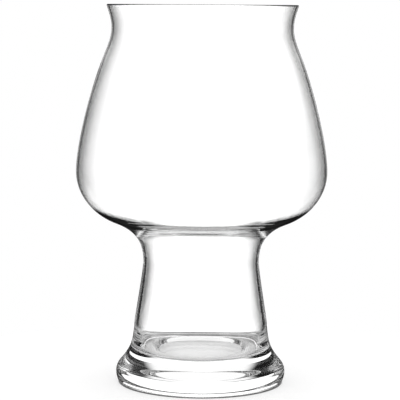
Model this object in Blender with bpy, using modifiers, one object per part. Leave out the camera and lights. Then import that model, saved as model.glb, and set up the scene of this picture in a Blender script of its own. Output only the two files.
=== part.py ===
"""Cider glass: a pear-shaped bowl with a flared lip, on a short hollow stem and a heavy foot.

Units are metres and +Z is up. The origin is on the table, at the middle of the foot.
The three pieces of clear glass are turned about the Z axis. Each one's outline is a chain of
smooth curves through a few stations, and the inside follows the outside at the wall's thickness.
The pieces meet face to face at two flat rings, where they are welded while the glass is hot.
"""
import math

import bpy
from mathutils import Vector
from mathutils.geometry import interpolate_bezier

# Lengths along the axis, which add up to the height of the glass
FOOT_HEIGHT = 0.0234
STEM_LENGTH = 0.0223
BOWL_HEIGHT = 0.0963

# Bowl: diameters outside, drops below the rim, rises above the stem weld, slopes in degrees
RIM_DIAMETER = 0.0714
THROAT_DIAMETER = 0.0678
THROAT_DROP = 0.0089
NECK_DIAMETER = 0.0734
NECK_DROP = 0.0188
BELLY_DIAMETER = 0.0942
BELLY_RISE = 0.0342
SHOULDER_DIAMETER = 0.0674
SHOULDER_RISE = 0.0155
LIP_SLOPE = -18.0
NECK_SLOPE = 23.0
SHOULDER_SLOPE = -68.5

# Stem: the waist is its weld to the bowl, and the ankle is its weld to the foot
WAIST_DIAMETER = 0.0436
ANKLE_DIAMETER = 0.0499
ANKLE_SLOPE = 6.6

# Foot: heights above the table
COVE_DIAMETER = 0.0583
COVE_RISE = 0.0093
COVE_SLOPE = 38.0
FOOT_DIAMETER = 0.0639
FOOT_BULGE_RISE = 0.0039
REST_DIAMETER = 0.0600
REST_WIDTH = 0.0055
PUNT_DEPTH = 0.0002

# Inside the bowl and the stem: wall thicknesses. The inner shoulder is a little higher up the wall
# than the outer one, and runs flatter by the taper, in degrees
RIM_WALL = 0.0009
THROAT_WALL = 0.0009
NECK_WALL = 0.0009
BELLY_WALL = 0.0009
SHOULDER_WALL = 0.0011
SHOULDER_LEAD = 0.0010
SHOULDER_TAPER = 2.7
WAIST_WALL = 0.0012
ANKLE_WALL = 0.0015

# Inside the foot: the hollow turns in below the heel, which stands in from the ankle's outer side,
# and ends in a flat floor
HEEL_INSET = 0.0015
HEEL_RISE = 0.0142
HEEL_SLOPE = 0.0
FLOOR_DIAMETER = 0.0326
FLOOR_THICKNESS = 0.0094
FLOOR_EDGE_SLOPE = -46.0

# How far each curve's handles reach, as a share of the straight line between its two stations
LIP_PULL = 0.37
THROAT_PULL = 0.30
NECK_PULL = 0.24
BELLY_PULL = 0.36
SHOULDER_PULL = 0.43
BELLY_INSIDE_PULL = 0.37
SHOULDER_INSIDE_PULL = 0.53
STEM_PULL = 0.16
FLARE_PULL = 0.40
HEEL_PULL = 0.62
COVE_PULL = 0.41
BULGE_PULL = 0.41
REST_PULL = 0.34
PUNT_PULL = 0.36

# Facets: steps round the axis, points along each curve and along each small arc
TURN_STEPS = 48
CURVE_POINTS = 6
ARC_POINTS = 5

# Heights of the two welds and of the rim above the table
ANKLE_HEIGHT = FOOT_HEIGHT
WAIST_HEIGHT = ANKLE_HEIGHT + STEM_LENGTH
RIM_HEIGHT = WAIST_HEIGHT + BOWL_HEIGHT

# Slope of a surface that runs level towards the axis
LEVEL_INWARD = -90.0


def heading(slope):
    """The direction down the wall, for a slope from the vertical that is positive where it widens."""
    angle = math.radians(slope)
    return Vector((math.sin(angle), -math.cos(angle)))


def station(diameter, height, slope):
    """A point of the outline, as (radius, height), and the direction of the wall there."""
    return Vector((diameter / 2, height)), heading(slope)


def inside(outer, wall):
    """The station on the inner surface that faces an outer one through the wall."""
    point, down = outer
    outward = Vector((-down.y, down.x))
    return point - wall * outward, down


def level_inside(outer, wall):
    """The station on the inner surface at the same height as an outer one, for a flat weld."""
    point, down = outer
    return point - Vector((wall, 0.0)), down


def curve(start, end, pull):
    """Points of a smooth curve from one station to the next, without the last one."""
    (first, first_down), (last, last_down) = start, end
    reach = pull * (last - first).length
    points = interpolate_bezier(
        first, first + reach * first_down, last - reach * last_down, last, CURVE_POINTS + 1)
    return points[:-1]


def chain(stations, pulls):
    """Points of the outline through all the stations, the last one included."""
    points = []
    for start, end, pull in zip(stations, stations[1:], pulls):
        points += curve(start, end, pull)
    return points + [stations[-1][0]]


def arc(middle, radius, first_angle, last_angle):
    """Points of a round corner between two angles in degrees, without its two ends."""
    points = []
    for step in range(1, ARC_POINTS):
        angle = math.radians(first_angle + (last_angle - first_angle) * step / ARC_POINTS)
        points.append(middle + radius * Vector((math.cos(angle), math.sin(angle))))
    return points


def clear_glass(name, colour):
    """Polished clear soda-lime glass, tinted a little where it is thick."""
    material = bpy.data.materials.new(name)
    material.use_nodes = True
    shader = material.node_tree.nodes["Principled BSDF"]
    shader.inputs["Base Color"].default_value = (*colour, 1.0)
    shader.inputs["Metallic"].default_value = 0.0
    shader.inputs["Roughness"].default_value = 0.02
    shader.inputs["IOR"].default_value = 1.52
    shader.inputs["Transmission Weight"].default_value = 1.0
    return material


def turned(name, outline, closed, material, collection):
    """A piece turned about Z. Its outline starts inside and runs down the outer side."""
    mesh = bpy.data.meshes.new(name)
    last = len(outline) - 1
    edges = [(index, index + 1) for index in range(last)]
    if closed:
        edges.append((last, 0))
    mesh.from_pydata([(point.x, 0.0, point.y) for point in outline], edges, [])
    mesh.materials.append(material)
    piece = bpy.data.objects.new(name, mesh)
    collection.objects.link(piece)
    screw = piece.modifiers.new("Turned", "SCREW")
    screw.axis = "Z"
    screw.steps = TURN_STEPS
    screw.render_steps = TURN_STEPS
    screw.use_merge_vertices = True
    screw.merge_threshold = 0.00001
    screw.use_smooth_shade = True
    return piece


# Stations that two pieces share, at the welds
WAIST = station(WAIST_DIAMETER, WAIST_HEIGHT, 0.0)
WAIST_INSIDE = level_inside(WAIST, WAIST_WALL)
ANKLE = station(ANKLE_DIAMETER, ANKLE_HEIGHT, ANKLE_SLOPE)
ANKLE_INSIDE = level_inside(ANKLE, ANKLE_WALL)


def bowl_outline():
    """Outer side from the lip down to the waist, then the inner side back up to the lip."""
    lip_radius = RIM_WALL / 2
    lip_middle = Vector((RIM_DIAMETER / 2 - lip_radius, RIM_HEIGHT - lip_radius))
    lip_down = heading(LIP_SLOPE)
    across = lip_radius * Vector((-lip_down.y, lip_down.x))
    throat = station(THROAT_DIAMETER, RIM_HEIGHT - THROAT_DROP, 0.0)
    neck = station(NECK_DIAMETER, RIM_HEIGHT - NECK_DROP, NECK_SLOPE)
    belly = station(BELLY_DIAMETER, WAIST_HEIGHT + BELLY_RISE, 0.0)
    shoulder = station(SHOULDER_DIAMETER, WAIST_HEIGHT + SHOULDER_RISE, SHOULDER_SLOPE)
    facing, shoulder_down = inside(shoulder, SHOULDER_WALL)
    shoulder_inside = (facing - SHOULDER_LEAD * shoulder_down, heading(SHOULDER_SLOPE - SHOULDER_TAPER))
    outer = chain(
        [(lip_middle + across, lip_down), throat, neck, belly, shoulder, WAIST],
        (LIP_PULL, THROAT_PULL, NECK_PULL, BELLY_PULL, SHOULDER_PULL))
    inner = chain([
        (lip_middle - across, lip_down),
        inside(throat, THROAT_WALL),
        inside(neck, NECK_WALL),
        inside(belly, BELLY_WALL),
        shoulder_inside,
        WAIST_INSIDE,
    ], (LIP_PULL, THROAT_PULL, NECK_PULL, BELLY_INSIDE_PULL, SHOULDER_INSIDE_PULL))
    lip = arc(lip_middle, lip_radius, LIP_SLOPE, LIP_SLOPE + 180.0)
    return outer + inner[::-1] + lip[::-1]


def stem_outline():
    """Outer side from the waist down to the ankle, then the inner side back up."""
    outer = chain([WAIST, ANKLE], [STEM_PULL])
    inner = chain([WAIST_INSIDE, ANKLE_INSIDE], [STEM_PULL])
    return outer + inner[::-1]


def foot_outline():
    """From the middle of the hollow's floor up to the weld, then down outside and under the punt."""
    heel = station(ANKLE_DIAMETER - 2 * HEEL_INSET, HEEL_RISE, HEEL_SLOPE)
    floor_edge = station(FLOOR_DIAMETER, FLOOR_THICKNESS, FLOOR_EDGE_SLOPE)
    hollow = chain([ANKLE_INSIDE, heel, floor_edge], [FLARE_PULL, HEEL_PULL])
    hollow.append(Vector((0.0, FLOOR_THICKNESS)))
    rest = station(REST_DIAMETER, 0.0, LEVEL_INWARD)
    outer = chain([
        ANKLE,
        station(COVE_DIAMETER, COVE_RISE, COVE_SLOPE),
        station(FOOT_DIAMETER, FOOT_BULGE_RISE, 0.0),
        rest,
    ], (COVE_PULL, BULGE_PULL, REST_PULL))
    punt_edge = station(REST_DIAMETER - 2 * REST_WIDTH, 0.0, LEVEL_INWARD)
    punt_top = station(0.0, PUNT_DEPTH, LEVEL_INWARD)
    punt = chain([punt_edge, punt_top], [PUNT_PULL])
    return hollow[::-1] + outer + punt


for item in list(bpy.data.objects):
    bpy.data.objects.remove(item, do_unlink=True)

glass = bpy.data.collections.new("cider_glass")
bpy.context.scene.collection.children.link(glass)

turned("bowl", bowl_outline(), True, clear_glass("blown clear glass", (0.97, 0.98, 0.98)), glass)
turned("stem", stem_outline(), True, clear_glass("drawn clear glass", (0.96, 0.97, 0.97)), glass)
turned("foot", foot_outline(), False, clear_glass("pressed clear glass", (0.95, 0.96, 0.96)), glass)
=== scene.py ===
"""Cider glass: how it looks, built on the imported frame.

Units are metres and +Z is up. The origin is on the table, under the middle of the foot.
Three closed pieces of clear glass stand for the three CAD nodes. They have the CAD outlines with
many more facets, and they follow each other here from the table up.
"""

import math

import bpy
from mathutils import Matrix, Vector


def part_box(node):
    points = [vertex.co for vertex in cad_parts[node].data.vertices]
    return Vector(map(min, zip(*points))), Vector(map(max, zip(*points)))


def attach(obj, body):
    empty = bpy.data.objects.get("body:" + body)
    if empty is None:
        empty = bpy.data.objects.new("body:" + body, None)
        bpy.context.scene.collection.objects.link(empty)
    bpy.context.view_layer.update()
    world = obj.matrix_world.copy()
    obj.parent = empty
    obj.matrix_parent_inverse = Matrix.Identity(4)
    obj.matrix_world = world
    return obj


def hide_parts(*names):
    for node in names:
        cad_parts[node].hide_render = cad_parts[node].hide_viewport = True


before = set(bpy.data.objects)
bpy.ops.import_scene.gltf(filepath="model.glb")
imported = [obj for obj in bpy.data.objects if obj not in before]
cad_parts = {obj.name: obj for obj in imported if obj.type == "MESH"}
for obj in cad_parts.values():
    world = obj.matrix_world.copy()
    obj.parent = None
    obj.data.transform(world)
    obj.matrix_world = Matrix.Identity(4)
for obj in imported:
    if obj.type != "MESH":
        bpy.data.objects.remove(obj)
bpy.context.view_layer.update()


# Foot
# The foot is a heavy pad of clear soda-lime glass, pressed in a mould and welded hot to the stem. The
# hollow of the stem turns in below the heel and ends on a flat floor. Underneath, the foot stands on a
# flat ring round a shallow punt.

foot_low, foot_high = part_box("foot")
FOOT_DIAMETER = foot_high.x - foot_low.x
FOOT_BULGE_RISE = 0.0039
ANKLE_HEIGHT = foot_high.z
ANKLE_DIAMETER = 0.0499
ANKLE_SLOPE = 6.6
ANKLE_WALL = 0.0015
COVE_DIAMETER = 0.0583
COVE_RISE = 0.0093
COVE_SLOPE = 38.0
REST_DIAMETER = 0.0600
REST_WIDTH = 0.0055
PUNT_DEPTH = 0.0002
HEEL_INSET = 0.0015
HEEL_RISE = 0.0142
HEEL_SLOPE = 0.0
FLOOR_DIAMETER = 0.0326
FLOOR_THICKNESS = 0.0094
FLOOR_EDGE_SLOPE = -46.0

# How far the curves' handles reach, as a share of the straight line between their two stations
FLARE_PULL = 0.40
HEEL_PULL = 0.62
COVE_PULL = 0.41
BULGE_PULL = 0.41
REST_PULL = 0.34
PUNT_PULL = 0.36

# Slopes of a wall that stands upright and of a surface that runs level towards the axis
UPRIGHT = 0.0
LEVEL_INWARD = -90.0

# Facets: steps round the axis and along each curve. Points closer than the last value are one point
TURN_STEPS = 160
CURVE_STEPS = 20
SAME_POINT = 1e-9


def heading(slope):
    """The direction down the wall, for a slope from the vertical that is positive where it widens."""
    angle = math.radians(slope)
    return Vector((math.sin(angle), -math.cos(angle)))


def station(diameter, height, slope):
    """A point of the outline, as (radius, height), and the direction of the wall there."""
    return Vector((diameter / 2, height)), heading(slope)


def level_inside(outer, wall):
    """The station on the inner surface at the same height as an outer one, for a flat weld."""
    point, down = outer
    return point - Vector((wall, 0.0)), down


def straight(start, end):
    """A flat stretch of the outline between two points."""
    along = (end - start).normalized()
    return [(start, along), (end, along)]


def curve(start, end, pull):
    """A smooth curve from one station to the next."""
    (first, first_down), (last, last_down) = start, end
    reach = pull * (last - first).length
    after_first = first + reach * first_down
    before_last = last - reach * last_down
    run = []
    for step in range(CURVE_STEPS + 1):
        done = step / CURVE_STEPS
        left = 1 - done
        point = (left ** 3 * first + 3 * left ** 2 * done * after_first
                 + 3 * left * done ** 2 * before_last + done ** 3 * last)
        along = (left ** 2 * (after_first - first) + 2 * left * done * (before_last - after_first)
                 + done ** 2 * (last - before_last))
        run.append((point, along.normalized()))
    return run


def chain(stations, pulls):
    """A smooth run of curves through all the stations."""
    run = []
    for start, end, pull in zip(stations, stations[1:], pulls):
        run = run[:-1] + curve(start, end, pull)
    return run


def upward(run):
    """The same run of the outline, followed the other way."""
    return [(point, -along) for point, along in reversed(run)]


def turned(name, runs, glass, weld_runs):
    """A closed piece of glass turned about Z, from runs that follow each other round its outline.

    A run is smooth within itself and meets the next one at a corner, unless both go the same way.
    """
    outline = [runs[0][0][0]]
    bands = []
    for number, run in enumerate(runs):
        for (_, along), (next_point, next_along) in zip(run, run[1:]):
            outline.append(next_point)
            bands.append((along, next_along, number in weld_runs))
    if (outline[-1] - outline[0]).length < SAME_POINT:
        outline.pop()
    turns = [math.tau * step / TURN_STEPS for step in range(TURN_STEPS)]
    vertices = []
    rings = []
    for point in outline:
        if point.x < SAME_POINT:
            rings.append([len(vertices)] * TURN_STEPS)
            vertices.append((0.0, 0.0, point.y))
        else:
            rings.append(list(range(len(vertices), len(vertices) + TURN_STEPS)))
            vertices += [(point.x * math.cos(turn), point.x * math.sin(turn), point.y) for turn in turns]
    faces = []
    slots = []
    normals = []
    for number, (along, next_along, is_weld) in enumerate(bands):
        ring = rings[number]
        next_ring = rings[(number + 1) % len(rings)]
        for step in range(TURN_STEPS):
            after = (step + 1) % TURN_STEPS
            corners = {}
            for vertex, down, turn in (
                    (ring[step], along, turns[step]), (next_ring[step], next_along, turns[step]),
                    (next_ring[after], next_along, turns[after]), (ring[after], along, turns[after])):
                corners[vertex] = (-down.y * math.cos(turn), -down.y * math.sin(turn), down.x)
            faces.append(list(corners))
            normals += corners.values()
            slots.append(1 if is_weld else 0)
    mesh = bpy.data.meshes.new(name)
    mesh.from_pydata(vertices, [], faces)
    mesh.materials.append(glass)
    mesh.materials.append(hot_weld)
    mesh.polygons.foreach_set("material_index", slots)
    mesh.polygons.foreach_set("use_smooth", [True] * len(faces))
    mesh.normals_split_custom_set(normals)
    piece = bpy.data.objects.new(name, mesh)
    bpy.context.scene.collection.objects.link(piece)
    return piece


def paint(hex_colour):
    """An sRGB hex colour as linear red, green, blue and alpha."""
    levels = [int(hex_colour[start:start + 2], 16) / 255 for start in (1, 3, 5)]
    linear = [level / 12.92 if level <= 0.04045 else ((level + 0.055) / 1.055) ** 2.4 for level in levels]
    return (*linear, 1.0)


def add_node(tree, kind, inputs, **settings):
    """Adds a node with its settings, and sets or links each of its named inputs."""
    node = tree.nodes.new(kind)
    for setting, value in settings.items():
        setattr(node, setting, value)
    for socket, value in inputs.items():
        if isinstance(value, bpy.types.NodeSocket):
            tree.links.new(value, node.inputs[socket])
        else:
            node.inputs[socket].default_value = value
    return node


def soda_lime_glass(name, tint, wave_width, wave_length, wave_height):
    """Polished clear glass, with the faint waves that its forming left in the surface."""
    material = bpy.data.materials.new(name)
    material.use_nodes = True
    tree = material.node_tree
    place = add_node(tree, "ShaderNodeTexCoord", {})
    drawn = add_node(tree, "ShaderNodeMapping", {
        "Vector": place.outputs["Object"],
        "Scale": (1 / wave_width, 1 / wave_width, 1 / wave_length),
    })
    waves = add_node(tree, "ShaderNodeTexNoise", {
        "Vector": drawn.outputs["Vector"], "Scale": 1.0, "Detail": 1.0, "Roughness": 0.4})
    relief = add_node(tree, "ShaderNodeBump", {
        "Height": waves.outputs["Fac"], "Strength": 1.0, "Distance": wave_height})
    shader = tree.nodes["Principled BSDF"]
    shader.inputs["Base Color"].default_value = paint(tint)
    shader.inputs["Metallic"].default_value = 0.0
    shader.inputs["Roughness"].default_value = 0.0
    shader.inputs["IOR"].default_value = 1.52
    shader.inputs["Transmission Weight"].default_value = 1.0
    tree.links.new(relief.outputs["Normal"], shader.inputs["Normal"])
    return material


# A hot weld leaves no surface inside the glass, so nothing shows where two pieces meet.
hot_weld = bpy.data.materials.new("hot weld")
hot_weld.use_nodes = True
hot_weld.node_tree.nodes.remove(hot_weld.node_tree.nodes["Principled BSDF"])
no_surface = add_node(hot_weld.node_tree, "ShaderNodeBsdfTransparent", {})
hot_weld.node_tree.links.new(
    no_surface.outputs["BSDF"], hot_weld.node_tree.nodes["Material Output"].inputs["Surface"])

# Pressed glass chills against the mould, which leaves broad shallow ripples in a bright surface.
pressed_glass = soda_lime_glass(
    "pressed soda-lime glass", "#FEFEFE", wave_width=0.009, wave_length=0.009, wave_height=0.000008)

ankle = station(ANKLE_DIAMETER, ANKLE_HEIGHT, ANKLE_SLOPE)
ankle_inside = level_inside(ankle, ANKLE_WALL)
heel = station(ANKLE_DIAMETER - 2 * HEEL_INSET, HEEL_RISE, HEEL_SLOPE)
floor_edge = station(FLOOR_DIAMETER, FLOOR_THICKNESS, FLOOR_EDGE_SLOPE)
cove = station(COVE_DIAMETER, COVE_RISE, COVE_SLOPE)
bulge = station(FOOT_DIAMETER, FOOT_BULGE_RISE, UPRIGHT)
rest = station(REST_DIAMETER, 0.0, LEVEL_INWARD)
punt_edge = station(REST_DIAMETER - 2 * REST_WIDTH, 0.0, LEVEL_INWARD)
punt_top = station(0.0, PUNT_DEPTH, LEVEL_INWARD)
foot_glass = turned("foot_glass", [
    straight(Vector((0.0, FLOOR_THICKNESS)), floor_edge[0]),
    upward(chain([ankle_inside, heel, floor_edge], [FLARE_PULL, HEEL_PULL])),
    straight(ankle_inside[0], ankle[0]),
    chain([ankle, cove, bulge, rest], [COVE_PULL, BULGE_PULL, REST_PULL]),
    straight(rest[0], punt_edge[0]),
    curve(punt_edge, punt_top, PUNT_PULL),
], pressed_glass, weld_runs=[2])
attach(foot_glass, "root")
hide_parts("foot")


# Stem
# The stem is a short hollow tube of the same glass, drawn down from the bowl while it is soft and
# narrowest at its top, the waist. It is welded to the bowl above and to the foot below.

_, stem_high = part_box("stem")
WAIST_HEIGHT = stem_high.z
WAIST_DIAMETER = 0.0436
WAIST_WALL = 0.0012
STEM_PULL = 0.16

# Drawing pulls any unevenness out along the tube, so its waves are long and upright.
drawn_glass = soda_lime_glass(
    "drawn soda-lime glass", "#FEFEFE", wave_width=0.009, wave_length=0.027, wave_height=0.00001)

waist = station(WAIST_DIAMETER, WAIST_HEIGHT, UPRIGHT)
waist_inside = level_inside(waist, WAIST_WALL)
stem_glass = turned("stem_glass", [
    curve(waist, ankle, STEM_PULL),
    straight(ankle[0], ankle_inside[0]),
    upward(curve(waist_inside, ankle_inside, STEM_PULL)),
    straight(waist_inside[0], waist[0]),
], drawn_glass, weld_runs=[1, 3])
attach(stem_glass, "root")
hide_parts("stem")


# Bowl
# The bowl is a thin pear-shaped bubble of the same glass, blown in a turning mould. Its throat is
# drawn in below a lip that flares a little, and the cut edge of the lip is melted round with a flame.

bowl_low, bowl_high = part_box("bowl")
RIM_HEIGHT = bowl_high.z
RIM_DIAMETER = 0.0714
THROAT_DIAMETER = 0.0678
THROAT_DROP = 0.0089
NECK_DIAMETER = 0.0734
NECK_DROP = 0.0188
BELLY_DIAMETER = bowl_high.x - bowl_low.x
BELLY_RISE = 0.0342
SHOULDER_DIAMETER = 0.0674
SHOULDER_RISE = 0.0155
LIP_SLOPE = -18.0
NECK_SLOPE = 23.0
SHOULDER_SLOPE = -68.5
RIM_WALL = 0.0009
THROAT_WALL = 0.0009
NECK_WALL = 0.0009
BELLY_WALL = 0.0009
SHOULDER_WALL = 0.0011
SHOULDER_LEAD = 0.0010
SHOULDER_TAPER = 2.7
LIP_PULL = 0.37
THROAT_PULL = 0.30
NECK_PULL = 0.24
BELLY_PULL = 0.36
SHOULDER_PULL = 0.43
BELLY_INSIDE_PULL = 0.37
SHOULDER_INSIDE_PULL = 0.53
LIP_STEPS = 12


def inside(outer, wall):
    """The station on the inner surface that faces an outer one through the wall."""
    point, down = outer
    outward = Vector((-down.y, down.x))
    return point - wall * outward, down


def lip_round(middle, radius):
    """The melted edge of the lip, from its inner side over the top to its outer side."""
    run = []
    for step in range(LIP_STEPS + 1):
        angle = math.radians(LIP_SLOPE + 180.0 * (1 - step / LIP_STEPS))
        outward = Vector((math.cos(angle), math.sin(angle)))
        run.append((middle + radius * outward, Vector((outward.y, -outward.x))))
    return run


# Blowing stretches the glass evenly, so its waves are broad and very shallow.
blown_glass = soda_lime_glass(
    "blown soda-lime glass", "#FEFEFE", wave_width=0.012, wave_length=0.018, wave_height=0.00001)

lip_radius = RIM_WALL / 2
lip_middle = Vector((RIM_DIAMETER / 2 - lip_radius, RIM_HEIGHT - lip_radius))
lip = lip_round(lip_middle, lip_radius)
throat = station(THROAT_DIAMETER, RIM_HEIGHT - THROAT_DROP, UPRIGHT)
neck = station(NECK_DIAMETER, RIM_HEIGHT - NECK_DROP, NECK_SLOPE)
belly = station(BELLY_DIAMETER, WAIST_HEIGHT + BELLY_RISE, UPRIGHT)
shoulder = station(SHOULDER_DIAMETER, WAIST_HEIGHT + SHOULDER_RISE, SHOULDER_SLOPE)
facing, shoulder_down = inside(shoulder, SHOULDER_WALL)
shoulder_inside = (facing - SHOULDER_LEAD * shoulder_down, heading(SHOULDER_SLOPE - SHOULDER_TAPER))
bowl_outside = chain(
    [(lip[-1][0], heading(LIP_SLOPE)), throat, neck, belly, shoulder, waist],
    [LIP_PULL, THROAT_PULL, NECK_PULL, BELLY_PULL, SHOULDER_PULL])
bowl_inside = chain([
    (lip[0][0], heading(LIP_SLOPE)),
    inside(throat, THROAT_WALL),
    inside(neck, NECK_WALL),
    inside(belly, BELLY_WALL),
    shoulder_inside,
    waist_inside,
], [LIP_PULL, THROAT_PULL, NECK_PULL, BELLY_INSIDE_PULL, SHOULDER_INSIDE_PULL])
bowl_glass = turned("bowl_glass", [
    bowl_outside,
    straight(waist[0], waist_inside[0]),
    upward(bowl_inside),
    lip,
], blown_glass, weld_runs=[1])
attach(bowl_glass, "root")
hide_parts("bowl")


# Table
# The glass stands on a plain table top of white laminate, which melts into the white behind it. Only
# a round of it under and about the glass is made, because the rest would be plain white.

TABLE_RADIUS = 0.12
TABLE_STEPS = 128
TABLE_GAP = 0.0002

table_mesh = bpy.data.meshes.new("table")
table_ring = [math.tau * step / TABLE_STEPS for step in range(TABLE_STEPS)]
table_mesh.from_pydata(
    [(TABLE_RADIUS * math.cos(turn), TABLE_RADIUS * math.sin(turn), -TABLE_GAP) for turn in table_ring],
    [], [list(range(TABLE_STEPS))])
table = bpy.data.objects.new("table", table_mesh)
bpy.context.scene.collection.objects.link(table)

# Matt white laminate: the camera sees it white with the faint shadow of the glass on it. Through the
# glass it shows only under the foot, dimmed there by painted shade that is darker under the rest, and
# white close round it. Past that the lower part of the light tent shows. As the camera sees it, a thin
# ring of painted contact shadow darkens it where the rest stands on it.
TABLE_LIFT = 0.55
TABLE_MIRRORED = 0.05
# Levels seen through the glass: painted shade under the foot's floor and rest, and white beside the foot
PAINTED_SHADE_UNDER_FLOOR_LEVEL = 0.6
PAINTED_SHADE_UNDER_REST_LEVEL = 0.3
BESIDE_FOOT_LEVEL = 1.1
UNDER_FLOOR_RADIUS = 0.0258
UNDER_REST_RADIUS = 0.0300
BESIDE_FOOT_RADIUS = 0.040
UNDER_FOOT_BLUR = 0.0008
# Where the painted contact shadow round the rest lies, and how dark it is
PAINTED_CONTACT_SHADOW_RADII = (0.0306, 0.0315)
PAINTED_CONTACT_SHADOW_LEVEL = 0.12

laminate = bpy.data.materials.new("matt white laminate")
laminate.use_nodes = True
laminate_tree = laminate.node_tree
laminate_tree.nodes.remove(laminate_tree.nodes["Principled BSDF"])
ray = add_node(laminate_tree, "ShaderNodeLightPath", {})
lit = add_node(laminate_tree, "ShaderNodeBsdfDiffuse", {"Color": paint("#C8C8C8")})
lift = add_node(laminate_tree, "ShaderNodeEmission", {"Strength": TABLE_LIFT})
open_table = add_node(laminate_tree, "ShaderNodeAddShader", {0: lit.outputs[0], 1: lift.outputs[0]})
mirrored = add_node(laminate_tree, "ShaderNodeEmission", {"Strength": TABLE_MIRRORED})
table_place = add_node(laminate_tree, "ShaderNodeTexCoord", {})
from_middle = add_node(laminate_tree, "ShaderNodeVectorMath", {
    0: table_place.outputs["Object"]}, operation="LENGTH")
# Painted contact shadow: a thin dark ring round the rest, for the camera and plain rays
painted_contact_shadow_mask = add_node(laminate_tree, "ShaderNodeMapRange", {
    0: from_middle.outputs["Value"], 1: PAINTED_CONTACT_SHADOW_RADII[0], 2: PAINTED_CONTACT_SHADOW_RADII[1], 3: 0.0, 4: 1.0,
}, interpolation_type="SMOOTHSTEP")
painted_contact_shadow = add_node(laminate_tree, "ShaderNodeEmission", {"Strength": PAINTED_CONTACT_SHADOW_LEVEL})
lit_white_and_painted_contact_shadow = add_node(laminate_tree, "ShaderNodeMixShader", {
    0: painted_contact_shadow_mask.outputs[0], 1: painted_contact_shadow.outputs[0], 2: open_table.outputs[0]})
# Painted shade under the foot, seen through the glass: dim under the floor, darker under the rest, white
# past it
painted_shade_under_foot = add_node(laminate_tree, "ShaderNodeMapRange", {
    0: from_middle.outputs["Value"],
    1: UNDER_FLOOR_RADIUS - UNDER_FOOT_BLUR, 2: UNDER_FLOOR_RADIUS + UNDER_FOOT_BLUR,
    3: PAINTED_SHADE_UNDER_FLOOR_LEVEL, 4: PAINTED_SHADE_UNDER_REST_LEVEL,
}, interpolation_type="SMOOTHSTEP")
past_rest = add_node(laminate_tree, "ShaderNodeMapRange", {
    0: from_middle.outputs["Value"],
    1: UNDER_REST_RADIUS, 2: UNDER_REST_RADIUS + UNDER_FOOT_BLUR,
    3: 0.0, 4: BESIDE_FOOT_LEVEL - PAINTED_SHADE_UNDER_REST_LEVEL,
}, interpolation_type="SMOOTHSTEP")
under_foot_level_with_painted_shade = add_node(laminate_tree, "ShaderNodeMath", {
    0: painted_shade_under_foot.outputs[0], 1: past_rest.outputs[0]}, operation="ADD")
under_foot_with_painted_shade = add_node(laminate_tree, "ShaderNodeEmission", {"Strength": under_foot_level_with_painted_shade.outputs[0]})
past_foot = add_node(laminate_tree, "ShaderNodeMath", {
    0: from_middle.outputs["Value"], 1: BESIDE_FOOT_RADIUS}, operation="GREATER_THAN")
tent_floor = add_node(laminate_tree, "ShaderNodeBsdfTransparent", {})
through = add_node(laminate_tree, "ShaderNodeMixShader", {
    0: past_foot.outputs[0], 1: under_foot_with_painted_shade.outputs[0], 2: tent_floor.outputs[0]})
seen_or_mirrored = add_node(laminate_tree, "ShaderNodeMixShader", {
    0: ray.outputs["Is Glossy Ray"], 1: lit_white_and_painted_contact_shadow.outputs[0], 2: mirrored.outputs[0]})
table_seen = add_node(laminate_tree, "ShaderNodeMixShader", {
    0: ray.outputs["Is Transmission Ray"], 1: seen_or_mirrored.outputs[0], 2: through.outputs[0]})
laminate_tree.links.new(
    table_seen.outputs[0], laminate_tree.nodes["Material Output"].inputs["Surface"])
table_mesh.materials.append(laminate)


# Card
# A low strip of white card stands in a curve behind the foot. It is seen only through the glass, where
# it keeps the middle of the foot clear and white.

CARD_RADIUS = 0.050
CARD_HEIGHT = 0.012
CARD_AZIMUTH = 90.0
CARD_HALF_TURN = 22.0
CARD_STEPS = 24
CARD_LEVEL = 1.4

card_vertices = []
for step in range(CARD_STEPS + 1):
    turn = math.radians(CARD_AZIMUTH + CARD_HALF_TURN * (2 * step / CARD_STEPS - 1))
    for height in (0.0, CARD_HEIGHT):
        card_vertices.append((CARD_RADIUS * math.cos(turn), CARD_RADIUS * math.sin(turn), height))
card_faces = [(2 * step, 2 * step + 2, 2 * step + 3, 2 * step + 1) for step in range(CARD_STEPS)]
card_mesh = bpy.data.meshes.new("card")
card_mesh.from_pydata(card_vertices, [], card_faces)
card = bpy.data.objects.new("card", card_mesh)
bpy.context.scene.collection.objects.link(card)

# Matt white card, seen by light that comes through the glass and by nothing else.
white_card = bpy.data.materials.new("matt white card")
white_card.use_nodes = True
card_tree = white_card.node_tree
card_tree.nodes.remove(card_tree.nodes["Principled BSDF"])
card_ray = add_node(card_tree, "ShaderNodeLightPath", {})
card_away = add_node(card_tree, "ShaderNodeBsdfTransparent", {})
card_white = add_node(card_tree, "ShaderNodeEmission", {"Strength": CARD_LEVEL})
card_seen = add_node(card_tree, "ShaderNodeMixShader", {
    0: card_ray.outputs["Is Transmission Ray"], 1: card_away.outputs[0], 2: card_white.outputs[0]})
card_tree.links.new(card_seen.outputs[0], card_tree.nodes["Material Output"].inputs["Surface"])
card_mesh.materials.append(white_card)


# Studio light
# Even white light all round, as in a light tent. What shows through the glass is a soft white panel
# behind it, wider higher up, in dimmer surroundings that give the glass its dark edges. Two more such
# panels, and a low one, stand behind the glass as it is seen from the side, the back and above.

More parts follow.
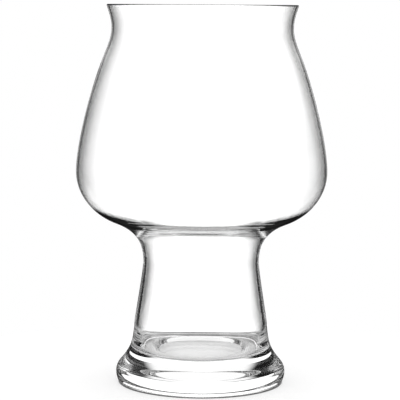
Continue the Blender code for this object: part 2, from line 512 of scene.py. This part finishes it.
# Azimuths, heights from the level and half widths are in degrees. A level of 1 is white, and the higher
# its sharpness, the narrower a panel is
PANEL_AZIMUTHS = [90.0, 180.0, 315.0]
PANEL_SHARPNESS = (46.0, 32.0)
PANEL_WIDENS = (-9.0, 5.0)
PANEL_LEVEL = 1.8
GAP_LEVEL = 0.01
UPPER_PANEL_AZIMUTH = 90.0
UPPER_PANEL_EDGE = (34.0, 22.0)
UPPER_PANEL_FROM = (4.0, 9.0)
UPPER_PANEL_LEVEL = 1.1
LOW_PANEL_AZIMUTH = 135.0
LOW_PANEL_SHARPNESS = 10.0
LOW_PANEL_FROM = (-12.0, -18.0)
LOW_PANEL_LEVEL = 1.0
MIRRORED_LEVEL = 0.02

# Bands above and below the panels: the height where each one starts, where it is full, and its level
TENT_BANDS = [
    (26.0, 34.0, 0.0),
    (40.0, 48.0, 0.4),
    (-24.0, -32.0, 0.3),
    (-45.0, -52.0, 0.9),
]

tent = bpy.data.worlds.new("light tent")
bpy.context.scene.world = tent
tent.use_nodes = True
tent_tree = tent.node_tree
view = add_node(tent_tree, "ShaderNodeTexCoord", {}).outputs["Generated"]
climb = add_node(tent_tree, "ShaderNodeSeparateXYZ", {0: view}).outputs["Z"]
flat_view = add_node(tent_tree, "ShaderNodeVectorMath", {
    0: view, 1: (1.0, 1.0, 0.0)}, operation="MULTIPLY")
level_view = add_node(tent_tree, "ShaderNodeVectorMath", {0: flat_view.outputs[0]}, operation="NORMALIZE")


def climb_at(height):
    """The climb of a view at a height in degrees: 0 on the level, 1 straight up."""
    return math.sin(math.radians(height))


def turned_to(azimuth):
    """How far a view is turned to a panel: 1 when straight at it, 0 from a right angle on."""
    angle = math.radians(azimuth)
    facing = add_node(tent_tree, "ShaderNodeVectorMath", {
        0: level_view.outputs[0], 1: (math.cos(angle), math.sin(angle), 0.0)}, operation="DOT_PRODUCT")
    return add_node(tent_tree, "ShaderNodeMath", {
        0: facing.outputs["Value"], 1: 0.0}, operation="MAXIMUM").outputs[0]


sharpness = add_node(tent_tree, "ShaderNodeMapRange", {
    0: climb, 1: climb_at(PANEL_WIDENS[0]), 2: climb_at(PANEL_WIDENS[1]),
    3: PANEL_SHARPNESS[0], 4: PANEL_SHARPNESS[1],
}, interpolation_type="SMOOTHSTEP")
panels = GAP_LEVEL
for azimuth in PANEL_AZIMUTHS:
    panel = add_node(tent_tree, "ShaderNodeMath", {
        0: turned_to(azimuth), 1: sharpness.outputs[0]}, operation="POWER")
    panels = add_node(tent_tree, "ShaderNodeMath", {
        0: panel.outputs[0], 1: PANEL_LEVEL, 2: panels}, operation="MULTIPLY_ADD").outputs[0]
upper_width = add_node(tent_tree, "ShaderNodeMapRange", {
    0: turned_to(UPPER_PANEL_AZIMUTH),
    1: math.cos(math.radians(UPPER_PANEL_EDGE[0])), 2: math.cos(math.radians(UPPER_PANEL_EDGE[1])),
}, interpolation_type="SMOOTHSTEP")
upper_height = add_node(tent_tree, "ShaderNodeMapRange", {
    0: climb, 1: climb_at(UPPER_PANEL_FROM[0]), 2: climb_at(UPPER_PANEL_FROM[1]), 4: UPPER_PANEL_LEVEL,
}, interpolation_type="SMOOTHSTEP")
upper_panel = add_node(tent_tree, "ShaderNodeMath", {
    0: upper_width.outputs[0], 1: upper_height.outputs[0]}, operation="MULTIPLY")
tent_wall = add_node(tent_tree, "ShaderNodeMath", {
    0: panels, 1: upper_panel.outputs[0]}, operation="MAXIMUM").outputs[0]
for band_start, band_full, band_level in TENT_BANDS:
    band = add_node(tent_tree, "ShaderNodeMapRange", {
        0: climb, 1: climb_at(band_start), 2: climb_at(band_full)}, interpolation_type="SMOOTHSTEP")
    tent_wall = add_node(tent_tree, "ShaderNodeMix", {
        0: band.outputs[0], 2: tent_wall, 3: band_level}, data_type="FLOAT").outputs[0]
low_width = add_node(tent_tree, "ShaderNodeMath", {
    0: turned_to(LOW_PANEL_AZIMUTH), 1: LOW_PANEL_SHARPNESS}, operation="POWER")
low_height = add_node(tent_tree, "ShaderNodeMapRange", {
    0: climb, 1: climb_at(LOW_PANEL_FROM[0]), 2: climb_at(LOW_PANEL_FROM[1]), 4: LOW_PANEL_LEVEL,
}, interpolation_type="SMOOTHSTEP")
low_panel = add_node(tent_tree, "ShaderNodeMath", {
    0: low_width.outputs[0], 1: low_height.outputs[0]}, operation="MULTIPLY")
through_glass = add_node(tent_tree, "ShaderNodeMath", {
    0: tent_wall, 1: low_panel.outputs[0]}, operation="MAXIMUM")
tent_ray = add_node(tent_tree, "ShaderNodeLightPath", {})
mirrored_or_plain = add_node(tent_tree, "ShaderNodeMix", {
    0: tent_ray.outputs["Is Glossy Ray"], 2: 1.0, 3: MIRRORED_LEVEL}, data_type="FLOAT")
tent_level = add_node(tent_tree, "ShaderNodeMix", {
    0: tent_ray.outputs["Is Transmission Ray"], 2: mirrored_or_plain.outputs[0],
    3: through_glass.outputs[0]}, data_type="FLOAT")
tent_tree.links.new(tent_level.outputs[0], tent_tree.nodes["Background"].inputs["Strength"])
tent_tree.nodes["Background"].inputs["Color"].default_value = paint("#FFFFFF")

# Light crosses many surfaces of clear glass before it gets out.
GLASS_BOUNCES = 24
bpy.context.scene.cycles.max_bounces = GLASS_BOUNCES
bpy.context.scene.cycles.transmission_bounces = GLASS_BOUNCES
bpy.context.scene.cycles.glossy_bounces = GLASS_BOUNCES


# Camera
# A long lens level with the rim, looking down to the middle of the glass. The photographed glass leans
# a little to the right towards its rim, so the camera is rolled by a part of that.

CAMERA_DISTANCE = 0.650
CAMERA_HEIGHT = 0.142
CAMERA_SIDE = -0.00055
CAMERA_DOWN = 6.42
CAMERA_ROLL = 0.4
SENSOR_WIDTH = 36.0
LENS = 156.4
NEAR_CLIP = 0.01

lens = bpy.data.cameras.new("camera")
lens.sensor_width = SENSOR_WIDTH
lens.lens = LENS
lens.clip_start = NEAR_CLIP
camera = bpy.data.objects.new("camera", lens)
bpy.context.scene.collection.objects.link(camera)
camera.matrix_world = (
    Matrix.Translation((CAMERA_SIDE, -CAMERA_DISTANCE, CAMERA_HEIGHT))
    @ Matrix.Rotation(math.radians(90.0 - CAMERA_DOWN), 4, "X")
    @ Matrix.Rotation(math.radians(CAMERA_ROLL), 4, "Z"))
bpy.context.scene.camera = camera
bpy.context.scene.view_settings.view_transform = "Standard"
